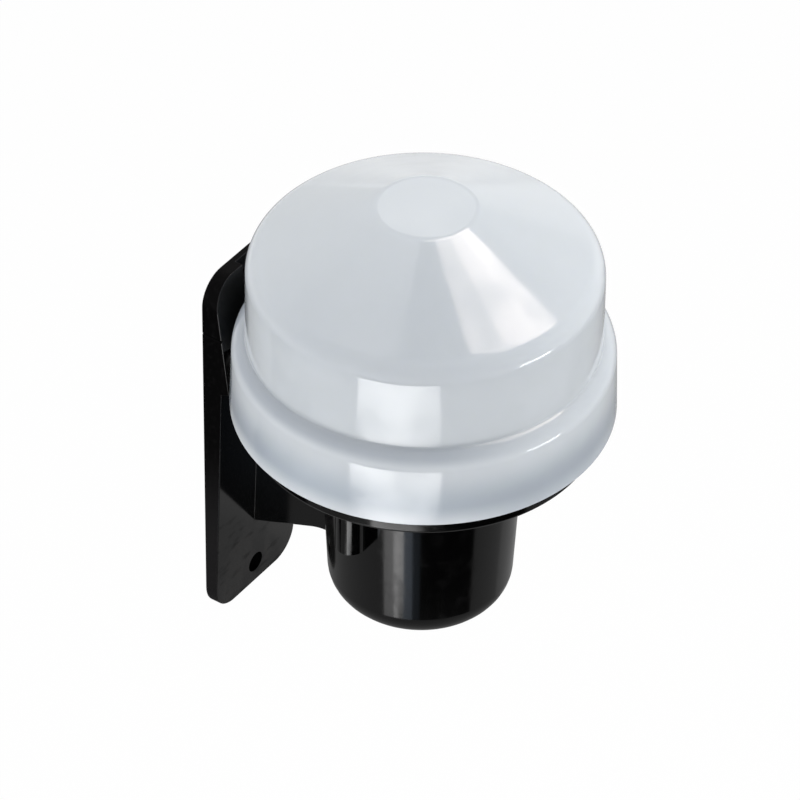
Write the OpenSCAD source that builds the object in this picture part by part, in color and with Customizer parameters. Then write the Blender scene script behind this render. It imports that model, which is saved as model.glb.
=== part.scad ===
// Photocell switch for an outdoor lamp. A moulded wall bracket carries a wiring cup and a tray, a round
// circuit board sits in the tray, and a milky dome snaps down over the tray's rim.
// The wall is the plane y = 0, the switch stands out toward -Y, and the wall plate's centre is the origin.

/* [Wall plate] */
// Width of the wall plate
plate_w = 26.6; // [24:0.2:32]
// Height of the wall plate
plate_h = 84.8; // [78:0.2:100]
// Radius of the plate's corners
plate_corner_r = 6.2; // [3:0.1:8]
// Thickness of the plate at its lower end
plate_low_t = 2.6; // [2.2:0.1:4]
// Thickness of the plate where the side pads begin
plate_high_t = 4.6; // [4:0.1:5.2]
// Thickness of the side pads at their lower end
pad_low_t = 6.4; // [5.8:0.1:7]
// Thickness of the side pads at the top of the plate
pad_top_t = 3.1; // [2.6:0.1:4]
// Length of the side pads, down from the top of the plate
pad_len = 26.1; // [22:0.1:30]
// Rise of the pads' lower end toward its front
pad_foot_rise = 0.7; // [0.2:0.1:1.2]

/* [Wall fixings] */
// Diameter of the lower screw hole
screw_hole_d = 4.5; // [4:0.1:5.5]
// Height of the lower screw hole above the plate's lower end
screw_hole_up = 5.1; // [4.5:0.1:9]
// Width of the channel that clears the upper screw's head
channel_w = 7.8; // [7.6:0.1:10]
// Thickness of the plate at the bottom of the channel
channel_t = 1.4; // [1.2:0.1:2]
// Diameter of the keyhole's round entry
keyhole_d = 7.2; // [6.6:0.1:7.4]
// Width of the keyhole's slot
keyhole_slot_w = 4.4; // [4.2:0.1:5]
// Distance that the plate drops onto the upper screw
keyhole_travel = 6; // [5:0.2:7]
// Depth of the keyhole's entry below the top of the plate
keyhole_down = 11.5; // [10.5:0.1:12.5]

/* [Dome place] */
// Gap between the skirt and the plate's pads
wall_gap = 0.5; // [0.3:0.1:3]
// Height of the dome's lower edge above the plate's centre
edge_up = 25.3; // [22:0.1:28]

/* [Dome] */
// Diameter of the skirt at the lower edge
skirt_d = 75; // [72:0.2:80]
// Draft of the skirt, from its lower edge in to its shoulder
skirt_draft = 0.55; // [0.2:0.05:1]
// Height of the skirt's shoulder
skirt_h = 16.9; // [15:0.1:19]
// Radius of the shoulder
shoulder_r = 4.5; // [3:0.1:5.5]
// Width of the step from the shoulder in to the dome's straight wall
shoulder_w = 2.55; // [2.2:0.05:3.5]
// Radius in the crease between the shoulder and the straight wall
crease_r = 0.4; // [0.2:0.1:0.8]
// Draft of the straight wall, from the step in to the rim
wall_draft = 0.1; // [0.05:0.05:0.6]
// Height of the rim
rim_h = 34.4; // [31:0.2:38]
// Radius of the rim
rim_r = 5.3; // [3:0.1:7]
// Diameter of the flat top
top_d = 19.5; // [16:0.5:26]
// Height of the flat top
dome_h = 46.8; // [43:0.2:52]
// Radius of the edge round the flat top
top_edge_r = 3; // [1:0.2:5]
// Wall thickness of the dome
dome_wall = 2; // [1.6:0.1:2.4]
// Radius of the skirt's lower lip
lip_r = 0.3; // [0.2:0.1:0.6]

/* [Snap fit and seal] */
// Gap between the tray's rim and the skirt at the shoulder
dome_clear = 0.2; // [0.1:0.05:0.4]
// Height of the snap bead above the lower edge
bead_up = 4.2; // [3:0.1:6]
// Radius of the snap bead
bead_r = 1.2; // [1:0.1:1.4]
// Height that the snap bead stands in from the skirt
bead_h = 1; // [0.8:0.1:1.2]
// Gap between the snap bead and its groove
snap_clear = 0.25; // [0.15:0.05:0.35]
// Thickness of the seal ring
seal_t = 1.8; // [1.2:0.1:2.6]
// Width of the seal ring
seal_w = 1.2; // [0.8:0.1:1.3]

/* [Tray] */
// Height of the tray that shows below the dome
tray_drop = 4.5; // [3.6:0.1:6]
// Thickness of the tray's floor
tray_floor = 2.2; // [1.8:0.1:3]
// Thickness of the tray's rim
tray_wall = 2.2; // [2:0.1:2.8]
// Radius of the tray's lower edge
tray_edge_r = 0.8; // [0.3:0.1:1.5]

/* [Wiring cup] */
// Diameter of the cup under the tray
cup_top_d = 40.4; // [38:0.2:42]
// Diameter of the cup at its lower end
cup_low_d = 36.2; // [33:0.2:38]
// Depth of the cup below the tray
cup_depth = 42.8; // [38:0.2:46]
// Radius of the cup's lower edge
cup_corner_r = 6.8; // [4:0.2:8]
// Radius between the cup and the tray
cup_root_r = 0.8; // [0.4:0.1:1.5]
// Wall thickness of the cup
cup_wall = 2; // [1.6:0.1:2.6]
// Thickness of the cup's floor
cup_floor = 2.4; // [2:0.1:3]

/* [Web and bridge] */
// Thickness of the web between the plate and the cup
web_t = 1.8; // [1.6:0.1:3]
// Depth of the web's lower edge below the tray, at the cup
web_depth = 40; // [34:0.5:41]
// Distance from the axis to the bend in the web's lower edge
web_bend = 24; // [22:0.5:28]
// Radius of that bend
web_bend_r = 12; // [6:0.5:16]
// Slope of the web's lower edge, in degrees
web_slope = 21; // [14:0.5:26]
// Width of the bridge from the plate to the tray
bridge_w = 18; // [12:0.5:22]
// Gap between the dome's lower edge and the bridge
edge_gap = 1.2; // [0.8:0.1:1.8]

/* [Bosses and rests] */
// Distance between the two screw bosses
boss_pitch = 48; // [46:0.2:49]
// Diameter of the screw bosses
boss_d = 6; // [5.4:0.1:7]
// Length of the screw bosses below the tray
boss_len = 16.3; // [12:0.1:20]
// Radius of the lower edge of the screw bosses
boss_edge_r = 0.5; // [0.3:0.1:1]
// Thickness of the rib from each boss to the cup
boss_rib_t = 1.2; // [1:0.1:2.4]
// Diameter of the board rests
rest_d = 4; // [3:0.1:5]
// Distance of the board rests in from the board's edge
rest_in = 4.5; // [3:0.1:5]

/* [Cable grommet] */
// Diameter of the grommet's hole for the cable
cable_d = 7; // [5:0.1:8]
// Diameter of the hole in the cup's floor
gland_d = 12; // [11:0.2:13]
// Diameter of the grommet's outer flange
gland_flange_d = 17; // [15:0.2:20]
// Diameter of the grommet's inner flange
gland_inner_d = 14.6; // [13.6:0.2:18]
// Thickness of the grommet's flanges
gland_flange_t = 1.6; // [1.2:0.1:2.2]

/* [Circuit board] */
// Thickness of the circuit board
board_t = 1.6; // [1:0.1:2]
// Height of the board above the tray's floor
board_up = 4.3; // [3:0.1:5]
// Gap between the board and the tray's rim
board_clear = 1.2; // [0.6:0.1:1.6]
// Diameter of the cable's hole in the board
cable_hole_d = 13; // [11:0.2:14]
// Distance of the cable's hole in front of the axis
cable_hole_out = 5; // [4:0.1:5.5]
// Diameter of the component leads
lead_d = 0.7; // [0.5:0.05:0.9]
// Gap round each lead in its hole
lead_clear = 0.15; // [0.1:0.05:0.25]
// Diameter of a solder joint at the board
solder_d = 1.7; // [1.4:0.1:1.8]
// Height of a solder joint
solder_h = 1.1; // [0.6:0.1:1.5]
// Gap between neighbouring components
part_gap = 1; // [0.8:0.1:1.2]

/* [Board screws] */
// Diameter of the board screws
board_screw_d = 2.9; // [2.5:0.1:3.2]
// Length of the board screws under the head
board_screw_len = 10; // [8:0.5:14]
// Diameter of the board screws' heads
board_head_d = 5.6; // [5:0.1:6]
// Height of the board screws' heads
board_head_h = 2; // [1.6:0.1:2.4]
// Gap round a board screw in the board
board_screw_clear = 0.2; // [0.1:0.05:0.3]
// Gap round a board screw in its boss
thread_clear = 0.05; // [0.02:0.01:0.08]
// Depth of the boss's hole past the screw's tip
pilot_spare = 1.5; // [1:0.1:2.5]

/* [Relay and capacitors] */
// Length of the relay
relay_l = 18; // [15:0.2:20]
// Width of the relay
relay_w = 13; // [10:0.2:14.5]
// Height of the relay
relay_h = 15; // [12:0.2:18]
// Distance of the relay's pins in from its sides
relay_pin_in = 2; // [1.6:0.1:2.4]
// Length of the film capacitor
film_l = 17; // [14:0.2:19]
// Width of the film capacitor
film_w = 6.5; // [5:0.1:7.5]
// Height of the film capacitor
film_h = 12.5; // [10:0.2:16]
// Distance between the film capacitor's leads
film_pitch = 14; // [10:0.2:15]
// Diameter of the electrolytic capacitor
can_d = 9; // [8:0.2:10]
// Height of the electrolytic capacitor
can_h = 14; // [11:0.2:18]
// Distance between the electrolytic capacitor's leads
can_pitch = 4; // [3.2:0.1:5]

/* [Light sensor] */
// Diameter of the light sensor
sensor_d = 5.1; // [4.4:0.1:6]
// Thickness of the light sensor
sensor_t = 2.1; // [1.6:0.1:2.6]
// Distance between the sensor's leads
sensor_pitch = 2.6; // [2.4:0.1:2.8]
// Diameter of the sensor's spacer
spacer_d = 4.6; // [4.4:0.1:5.2]
// Height of the sensor's spacer
spacer_h = 17; // [14:0.5:22]

/* [Small components] */
// Length of a diode's body
diode_l = 5.2; // [4.4:0.1:6]
// Diameter of a diode's body
diode_d = 2.7; // [2.2:0.1:3]
// Length of a resistor's body
resistor_l = 6.3; // [5.6:0.1:7]
// Diameter of a resistor's body
resistor_d = 2.4; // [2:0.1:2.8]
// Distance between the bent leads of a diode or resistor
axial_pitch = 10; // [9.4:0.2:11]
// Length of the inrush resistor's body
inrush_l = 10; // [9:0.2:11]
// Diameter of the inrush resistor's body
inrush_d = 4; // [3.2:0.1:4.6]
// Distance of the inrush resistor in from the board's edge
inrush_in = 5.4; // [4:0.1:7]
// Distance between the inrush resistor's leads
inrush_pitch = 14; // [13:0.2:16]
// Diameter of the varistor
varistor_d = 8; // [6.8:0.1:8.8]
// Thickness of the varistor
varistor_t = 3.6; // [3:0.1:4.2]
// Distance between the varistor's leads
varistor_pitch = 5; // [4:0.1:5.4]
// Distance of the varistor in from the board's edge
varistor_in = 5; // [4.6:0.1:5.4]
// Bearing of the varistor from the axis, in degrees
varistor_turn = 19; // [18:0.5:20]
// Diameter of the transistor's body
transistor_d = 4.6; // [4.2:0.1:5]
// Height of the transistor's body
transistor_h = 4.8; // [4.2:0.1:5.4]
// Depth of the transistor's flat behind its centre
transistor_flat = 1.3; // [1:0.1:1.6]
// Height of the transistor above the board
transistor_up = 2; // [1.4:0.1:3]
// Distance between the transistor's leads
transistor_pitch = 1.9; // [1.85:0.05:1.95]

/* [Terminal block] */
// Number of terminals
poles = 3; // [2:1:3]
// Distance between terminals
pole_pitch = 7.5; // [7:0.1:8]
// Thickness of the block's end walls past the outer terminals
block_end = 0.6; // [0.4:0.1:1]
// Width of the block
block_w = 10; // [9:0.1:11]
// Height of the block
block_h = 12; // [11:0.2:14]
// Distance of the block in front of the axis
block_out = 14; // [13.5:0.1:15]
// Width and depth of a terminal clamp
clamp_w = 5.4; // [4.8:0.1:5.8]
// Height of a terminal clamp
clamp_h = 6; // [5.4:0.1:6.6]
// Width and height of the opening in a clamp
clamp_open = 3.4; // [2.8:0.1:3.8]
// Thickness of a clamp's lower wall
clamp_foot = 1; // [0.8:0.1:1.2]
// Gap round a clamp in the block
clamp_clear = 0.15; // [0.1:0.05:0.25]
// Diameter of the wire openings in the block
wire_d = 3.8; // [3.2:0.1:4.2]
// Diameter of a terminal screw's head
term_head_d = 4; // [3.4:0.1:4.4]
// Height of a terminal screw's head
term_head_h = 2; // [1.6:0.1:2.2]
// Diameter of a terminal screw
term_screw_d = 2.4; // [2:0.1:2.8]
// Height of a terminal screw's head above its clamp
term_screw_up = 1.8; // [1.2:0.1:2.4]
// Distance that a terminal screw reaches into its clamp's opening
term_screw_in = 0.8; // [0.4:0.1:1.2]
// Gap round a terminal screw's head in the block
term_head_clear = 0.25; // [0.15:0.05:0.4]
// Width of the slots in the screw heads
slot_w = 0.7; // [0.5:0.05:0.9]
// Depth of the slots in the screw heads
slot_depth = 0.8; // [0.5:0.05:1]

/* [Hidden] */
$fn = 72;
arc_steps = 10;
cut = 1;

// Levels along the dome's axis, from the dome's lower edge
tray_z = -tray_drop;
floor_z = tray_z + tray_floor;
board_z = floor_z + board_up;
board_top = board_z + board_t;
ledge_z = skirt_h - dome_wall;
rim_z = ledge_z - seal_t;
cup_z = tray_z - cup_depth;
gland_z = cup_z - gland_flange_t;

// Outside and inside of the dome
skirt_top_d = skirt_d - 2 * skirt_draft;
wall_d = skirt_top_d - 2 * shoulder_w;
rim_d = wall_d - 2 * wall_draft;
skirt_slope = skirt_draft / skirt_h;
skirt_in = inset([0, skirt_h], [skirt_top_d / 2, skirt_h], [skirt_d / 2, 0], dome_wall);
rim_in = inset([wall_d / 2, skirt_h], [rim_d / 2, rim_h], [top_d / 2, dome_h], dome_wall);
top_in = inset([rim_d / 2, rim_h], [top_d / 2, dome_h], [0, dome_h], dome_wall);
wall_in_r = wall_d / 2 - dome_wall;
bead_hub = [skirt_inside(bead_up) + bead_r - bead_h, bead_up];
ledge_r = 0.8;
shoulder_hub = inset([0, skirt_h], [skirt_top_d / 2, skirt_h], [skirt_d / 2, 0], shoulder_r);
crease_span = shoulder_r + crease_r;
crease_x = wall_d / 2 + crease_r;
crease_rise = sqrt(crease_span * crease_span - pow(crease_x - shoulder_hub[0], 2));
crease_hub = [crease_x, shoulder_hub[1] + crease_rise];
shoulder_from = bearing([skirt_h, skirt_draft]);
shoulder_to = bearing(crease_hub - shoulder_hub);

// Radii of the tray, its cup and its board
tray_r = skirt_in[0] - dome_clear;
tray_in_r = tray_r - tray_wall;
board_r = tray_in_r - board_clear;
cup_in_top_r = cup_top_d / 2 - cup_wall;
cup_in_low_r = cup_low_d / 2 - cup_wall;
rest_out = board_r - rest_in;

// The wall plate
plate_top = plate_h / 2;
pad_z = plate_top - pad_len;
keyhole_z = plate_top - keyhole_down;
pad_foot_z = pad_z + pad_foot_rise;
pad_thinning = (pad_low_t - pad_top_t) / (plate_top - pad_foot_z);
pad_edge_t = pad_low_t - (edge_up - pad_foot_z) * pad_thinning;
axis_out = pad_edge_t + wall_gap + skirt_d / 2;
screw_hole_z = screw_hole_up - plate_h / 2;
web_end_z = tray_z - web_depth - (axis_out - web_bend) * tan(web_slope);

// The terminal block
block_l = poles * pole_pitch + 2 * block_end;
block_mid = -block_out - block_w / 2;
clamp_mid = block_mid;
clamp_hole_z = clamp_foot + clamp_open / 2;
clamp_top_z = clamp_foot + clamp_open;
term_head_z = clamp_h + term_screw_up;
pocket_w = clamp_w + 2 * clamp_clear;
pocket_h = clamp_h + clamp_clear;
pole_x = [for (i = [0:poles - 1]) (i - (poles - 1) / 2) * pole_pitch];

// Places on the board, from the dome's axis: +x to the right, +y toward the wall
cable_hole_r = cable_hole_d / 2;
side_x = block_l / 2 + part_gap;
row_y = -cable_hole_out - axial_pitch / 2;
relay_corner = [-2, 5];
relay_mid = relay_corner + [-relay_l, relay_w] / 2;
film_corner = [2, 13.2];
film_mid = film_corner + [film_l, film_w] / 2;
can_mid = [14.6, 7];
sensor_mid = [3.8, 7.5];
varistor_mid = (board_r - varistor_in) * [cos(varistor_turn), sin(varistor_turn)];
inrush_mid = [0, board_r - inrush_in];
transistor_mid = [-10.6, -2];
freewheel_mid = [-14, 2.6];
last_rectifier_mid = [12.5, -2.2];
rectifier_x = [for (i = [0:2]) side_x + diode_d / 2 + i * (diode_d + part_gap)];
resistor_x = [for (i = [0:1]) -side_x - resistor_d / 2 - i * (resistor_d + part_gap)];
zener_x = resistor_x[1] - resistor_d / 2 - part_gap - diode_d / 2;

// Leads that go straight down from a component, as [place, height of their upper end above the board]
function pair_x(mid, pitch, up) = [for (side = [-1, 1]) [mid + [side * pitch / 2, 0], up]];
function pair_y(mid, pitch, up) = [for (side = [-1, 1]) [mid + [0, side * pitch / 2], up]];
relay_half = [relay_l / 2 - relay_pin_in, relay_w / 2 - relay_pin_in];
relay_pins = [
    for (s = [-1, 1]) [relay_mid + [-relay_half[0], s * relay_half[1]], 0],
    for (s = [-1, 1]) [relay_mid + [relay_half[0], s * relay_half[1]], 0],
    [relay_mid - [relay_half[0], 0], 0],
];
film_pins = pair_x(film_mid, film_pitch, 0);
can_pins = pair_x(can_mid, can_pitch, 0);
sensor_pins = pair_x(sensor_mid, sensor_pitch, spacer_h);
varistor_pins = pair_y(varistor_mid, varistor_pitch, 0);
transistor_pins = [
    for (i = [-1:1]) [transistor_mid + [i * transistor_pitch, 0], transistor_up],
];
block_pins = [for (x = pole_x) [[x, clamp_mid], 0]];
straight_pins = concat(
    relay_pins, film_pins, can_pins, sensor_pins, varistor_pins, transistor_pins, block_pins
);

// Components that lie on the board with bent leads, as [centre, turn, body length, body diameter, pitch]
rectifier_lies = [for (x = rectifier_x) [[x, row_y], 90, diode_l, diode_d, axial_pitch]];
crosswise_lies = [
    for (mid = [freewheel_mid, last_rectifier_mid]) [mid, 0, diode_l, diode_d, axial_pitch],
];
zener_lies = [[[zener_x, row_y], 90, diode_l, diode_d, axial_pitch]];
resistor_lies = [for (x = resistor_x) [[x, row_y], 90, resistor_l, resistor_d, axial_pitch]];
inrush_lies = [[inrush_mid, 0, inrush_l, inrush_d, inrush_pitch]];
all_lies = concat(rectifier_lies, crosswise_lies, zener_lies, resistor_lies, inrush_lies);

// Places of every hole for a lead
lead_places = concat(
    [for (pin = straight_pins) pin[0]],
    [for (lie = all_lies, side = [-1, 1]) lie[0] + side * lie[4] / 2 * [cos(lie[1]), sin(lie[1])]]
);

function unit(v) = v / norm(v);
function half_angle(a, b, c) = acos(unit(a - b) * unit(c - b)) / 2;

// The point at distance d inside both edges of corner b
function inset(a, b, c, d) = b + unit(unit(a - b) + unit(c - b)) * d / sin(half_angle(a, b, c));

// Inner radius of the skirt at height z
function skirt_inside(z) = skirt_in[0] + (skirt_in[1] - z) * skirt_slope;

// Points that round corner b, between a and c, with radius r
function arc(hub, r, from, sweep) = [
    for (i = [0:arc_steps]) hub + r * [cos(from + sweep * i / arc_steps), sin(from + sweep * i / arc_steps)]
];
function short_turn(turn) = turn > 180 ? turn - 360 : turn < -180 ? turn + 360 : turn;
function bearing(v) = atan2(v[1], v[0]);
function rounded_corner(a, b, c, r) =
    let (hub = inset(a, b, c, r))
    let (back = r / tan(half_angle(a, b, c)))
    let (from = bearing(b + unit(a - b) * back - hub))
    let (to = bearing(b + unit(c - b) * back - hub))
    arc(hub, r, from, short_turn(to - from));

// An outline from corners given as [x, y, radius]
function flat(p) = [p[0], p[1]];
function sharp(points) = [for (p = points) [p[0], p[1], 0]];
function rounded(path) = [
    for (i = [0:len(path) - 1])
        let (a = flat(path[(i + len(path) - 1) % len(path)]))
        let (b = flat(path[i]))
        let (c = flat(path[(i + 1) % len(path)]))
        each path[i][2] > 0 ? rounded_corner(a, b, c, path[i][2]) : [b]
];

// Moves from the wall frame to the dome's axis, at the dome's lower edge
module at_axis(z = 0) {
    translate([0, -axis_out, edge_up + z]) children();
}

// Stands a drawing of the XZ plane up, from the wall out to the given depth
module from_wall(depth) {
    rotate([90, 0, 0]) linear_extrude(depth) children();
}

// Sweeps a drawing of the YZ plane across the given width
module across(width) {
    rotate([90, 0, 90]) linear_extrude(width, center = true) children();
}

module plate_outline() {
    x = plate_w / 2;
    y = plate_h / 2;
    r = plate_corner_r;
    polygon(rounded([[-x, -y, r], [x, -y, r], [x, y, r], [-x, y, r]]));
}

// Side view of the plate: a thin lower end, a step, and pads that thin toward the top
module plate_side() {
    polygon([
        [0, -plate_top],
        [-plate_low_t, -plate_top],
        [-plate_high_t, pad_z],
        [-pad_low_t, pad_foot_z],
        [-pad_top_t, plate_top],
        [0, plate_top],
    ]);
}

module channel_outline() {
    translate([0, keyhole_z]) circle(d = channel_w);
    translate([-channel_w / 2, keyhole_z]) square([channel_w, keyhole_down + cut]);
}

module keyhole_outline() {
    translate([0, keyhole_z]) circle(d = keyhole_d);
    translate([-keyhole_slot_w / 2, keyhole_z]) square([keyhole_slot_w, keyhole_travel]);
    translate([0, keyhole_z + keyhole_travel]) circle(d = keyhole_slot_w);
}

module wall_plate() {
    difference() {
        intersection() {
            from_wall(pad_low_t + cut) plate_outline();
            across(plate_w + cut) plate_side();
        }
        translate([0, -channel_t, 0]) from_wall(pad_low_t) channel_outline();
    }
}

// The web under the bridge: level at the cup, then sloping down to the plate
module web() {
    bend_y = web_bend - axis_out;
    across(web_t) polygon(rounded([
        [-plate_low_t / 2, edge_up - edge_gap, 0],
        [-axis_out, edge_up - edge_gap, 0],
        [-axis_out, edge_up + tray_z - web_depth, 0],
        [bend_y, edge_up + tray_z - web_depth, web_bend_r],
        [-plate_low_t / 2, edge_up + web_end_z + plate_low_t / 2 * tan(web_slope), 0],
    ]));
}

module bridge() {
    translate([-bridge_w / 2, -axis_out, edge_up + tray_z])
        cube([bridge_w, axis_out - channel_t / 2, tray_drop - edge_gap]);
}

// Section of the tray and cup, filled
module shell_section() {
    difference() {
        polygon(rounded([
            [0, cup_z, 0],
            [cup_low_d / 2, cup_z, cup_corner_r],
            [cup_top_d / 2, tray_z, cup_root_r],
            [tray_r, tray_z, tray_edge_r],
            [tray_r, rim_z, lip_r],
            [0, rim_z, 0],
        ]));
        translate(bead_hub) circle(bead_r + snap_clear);
    }
}

// Section of the space inside the tray and cup
module hollow_section() {
    polygon([[0, floor_z], [tray_in_r, floor_z], [tray_in_r, rim_z + cut], [0, rim_z + cut]]);
    polygon(rounded([
        [0, cup_z + cup_floor, 0],
        [cup_in_low_r, cup_z + cup_floor, cup_corner_r - cup_wall],
        [cup_in_top_r, tray_z, 0],
        [cup_in_top_r, floor_z + cut, 0],
        [0, floor_z + cut, 0],
    ]));
}

// A round boss from below the tray up to the board, with a rib to the cup
module boss(side) {
    x = side * boss_pitch / 2;
    rib_l = boss_pitch / 2 - cup_in_top_r;
    translate([x, 0, 0]) rotate_extrude() polygon(rounded([
        [0, tray_z - boss_len, 0],
        [boss_d / 2, tray_z - boss_len, boss_edge_r],
        [boss_d / 2, board_z, 0],
        [0, board_z, 0],
    ]));
    translate([x - side * rib_l / 2, 0, tray_z - boss_len / 2])
        cube([rib_l, boss_rib_t, boss_len], center = true);
}

module rest(side) {
    translate([0, side * rest_out, floor_z - tray_floor / 2])
        cylinder(d = rest_d, h = tray_floor / 2 + board_up);
}

module pilot_hole(side) {
    depth = board_screw_len - board_t + pilot_spare;
    translate([side * boss_pitch / 2, 0, board_z - depth])
        cylinder(d = board_screw_d + 2 * thread_clear, h = depth + cut);
}

module bracket() color([0.06, 0.06, 0.065]) {
    difference() {
        union() {
            difference() {
                union() {
                    wall_plate();
                    web();
                    bridge();
                    at_axis() rotate_extrude() shell_section();
                }
                at_axis() rotate_extrude() hollow_section();
            }
            at_axis() for (side = [-1, 1]) boss(side);
            at_axis() for (side = [-1, 1]) rest(side);
        }
        at_axis() for (side = [-1, 1]) pilot_hole(side);
        at_axis(cup_z - cut) cylinder(d = gland_d, h = cup_floor + 2 * cut);
        translate([0, cut, screw_hole_z]) rotate([90, 0, 0])
            cylinder(d = screw_hole_d, h = pad_low_t + 2 * cut);
        translate([0, cut, 0]) from_wall(channel_t + 2 * cut) keyhole_outline();
    }
}

// Outside of the dome: a skirt with a round shoulder, a straight wall, a round rim and a cone to a flat top
module dome_outside() {
    polygon(rounded(concat(
        [[0, 0, 0], [skirt_d / 2, 0, lip_r]],
        sharp(arc(shoulder_hub, shoulder_r, shoulder_from, shoulder_to - shoulder_from)),
        sharp(arc(crease_hub, crease_r, shoulder_to - 180, -shoulder_to)),
        [[rim_d / 2, rim_h, rim_r], [top_d / 2, dome_h, top_edge_r], [0, dome_h, 0]]
    )));
}

module dome_inside() {
    polygon(rounded([
        [0, -cut, 0],
        [skirt_inside(-cut), -cut, 0],
        [skirt_in[0], ledge_z, ledge_r],
        [0, ledge_z, 0],
    ]));
    polygon(rounded([
        [0, ledge_z - cut, 0],
        [wall_in_r, ledge_z - cut, 0],
        [rim_in[0], rim_in[1], rim_r - dome_wall],
        [top_in[0], top_in[1], 0],
        [0, top_in[1], 0],
    ]));
}

module dome_cover() color([0.9, 0.92, 0.94]) {
    at_axis() rotate_extrude() {
        difference() {
            dome_outside();
            dome_inside();
        }
        translate(bead_hub) circle(bead_r);
    }
}

module dome_seal() color([0.2, 0.2, 0.2]) {
    at_axis(rim_z) rotate_extrude() translate([tray_in_r, 0]) square([seal_w, seal_t]);
}

module cable_grommet() color([0.12, 0.12, 0.12]) {
    at_axis(gland_z) difference() {
        union() {
            cylinder(d = gland_flange_d, h = gland_flange_t);
            cylinder(d = gland_d, h = 2 * gland_flange_t + cup_floor);
            translate([0, 0, gland_flange_t + cup_floor]) cylinder(d = gland_inner_d, h = gland_flange_t);
        }
        translate([0, 0, -cut]) cylinder(d = cable_d, h = 2 * gland_flange_t + cup_floor + 2 * cut);
    }
}

module circuit_board() color([0.75, 0.62, 0.35]) {
    at_axis(board_z) linear_extrude(board_t) difference() {
        circle(board_r);
        translate([0, -cable_hole_out]) circle(cable_hole_r);
        for (side = [-1, 1]) translate([side * boss_pitch / 2, 0])
            circle(d = board_screw_d + 2 * board_screw_clear);
        for (place = lead_places) translate(place) circle(d = lead_d + 2 * lead_clear);
    }
}

// A round screw head with a slot, standing on z = 0
module slotted_head(d, h) {
    difference() {
        cylinder(d = d, h = h);
        translate([-d / 2 - cut, -slot_w / 2, h - slot_depth]) cube([d + 2 * cut, slot_w, slot_depth + cut]);
    }
}

module board_screws() color([0.72, 0.73, 0.75]) {
    at_axis(board_top) for (side = [-1, 1]) translate([side * boss_pitch / 2, 0, 0]) {
        slotted_head(board_head_d, board_head_h);
        translate([0, 0, -board_screw_len]) cylinder(d = board_screw_d, h = board_screw_len);
    }
}

module solder_joints() color([0.8, 0.8, 0.82]) {
    at_axis(board_z - solder_h) for (place = lead_places) translate(place)
        cylinder(d1 = lead_d, d2 = solder_d, h = solder_h);
}

// One lead from the end of a lying body, out and down through the board
module bent_lead(body_l, body_d, pitch) {
    up = body_d / 2;
    translate([body_l / 2, 0, up]) rotate([0, 90, 0]) cylinder(d = lead_d, h = (pitch - body_l) / 2);
    translate([pitch / 2, 0, up]) sphere(d = lead_d);
    translate([pitch / 2, 0, -board_t]) cylinder(d = lead_d, h = board_t + up);
}

module component_leads() color([0.8, 0.8, 0.82]) {
    at_axis(board_top) {
        for (pin = straight_pins) translate([pin[0][0], pin[0][1], -board_t])
            cylinder(d = lead_d, h = board_t + pin[1]);
        for (lie = all_lies, side = [0, 180]) translate(lie[0]) rotate(lie[1] + side)
            bent_lead(lie[2], lie[3], lie[4]);
    }
}

// Bodies that lie on the board
module lying_bodies(lies) {
    at_axis(board_top) for (lie = lies) translate([lie[0][0], lie[0][1], lie[3] / 2])
        rotate([0, 90, lie[1]]) cylinder(d = lie[3], h = lie[2], center = true);
}

module light_sensor() color([0.85, 0.55, 0.3]) {
    at_axis(board_top + spacer_h) translate(sensor_mid) cylinder(d = sensor_d, h = sensor_t);
}

module sensor_spacer() color([0.92, 0.92, 0.9]) {
    at_axis(board_top) linear_extrude(spacer_h) difference() {
        translate(sensor_mid) circle(d = spacer_d);
        for (pin = sensor_pins) translate(pin[0]) circle(d = lead_d + 2 * lead_clear);
    }
}

module relay() color([0.15, 0.3, 0.6]) {
    at_axis(board_top + relay_h / 2) translate(relay_mid) cube([relay_l, relay_w, relay_h], center = true);
}

module film_capacitor() color([0.85, 0.75, 0.2]) {
    at_axis(board_top + film_h / 2) translate(film_mid) cube([film_l, film_w, film_h], center = true);
}

module electrolytic_capacitor() color([0.12, 0.15, 0.25]) {
    at_axis(board_top) translate(can_mid) cylinder(d = can_d, h = can_h);
}

module rectifier_diodes() color([0.1, 0.1, 0.1]) {
    lying_bodies(concat(rectifier_lies, crosswise_lies));
}

module zener_diode() color([0.75, 0.35, 0.2]) {
    lying_bodies(zener_lies);
}

module resistors() color([0.8, 0.7, 0.5]) {
    lying_bodies(resistor_lies);
}

module inrush_resistor() color([0.35, 0.5, 0.55]) {
    lying_bodies(inrush_lies);
}

// A coated disc on edge, with a straight foot round its leads
module varistor() color([0.15, 0.35, 0.7]) {
    foot_w = varistor_pitch + 2 * lead_d;
    at_axis(board_top) translate(varistor_mid) {
        translate([0, 0, varistor_d / 2]) rotate([0, 90, 0])
            cylinder(d = varistor_d, h = varistor_t, center = true);
        translate([-varistor_t / 2, -foot_w / 2, 0]) cube([varistor_t, foot_w, varistor_d / 2]);
    }
}

module transistor() color([0.08, 0.08, 0.08]) {
    at_axis(board_top + transistor_up) translate(transistor_mid) linear_extrude(transistor_h) difference() {
        circle(d = transistor_d);
        translate([-transistor_d, transistor_flat]) square(2 * transistor_d);
    }
}

// Housing with a pocket for each clamp, a well for its screw and an opening for its wire
module terminal_block() color([0.9, 0.9, 0.88]) {
    at_axis(board_top) difference() {
        translate([-block_l / 2, -block_out - block_w, 0]) cube([block_l, block_w, block_h]);
        for (x = pole_x) translate([x, clamp_mid, 0]) {
            translate([-pocket_w / 2, -pocket_w / 2, -cut]) cube([pocket_w, pocket_w, pocket_h + cut]);
            cylinder(d = term_head_d + 2 * term_head_clear, h = block_h + cut);
            translate([0, 0, clamp_hole_z]) rotate([-90, 0, 0]) cylinder(d = wire_d, h = block_w);
        }
    }
}

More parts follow.
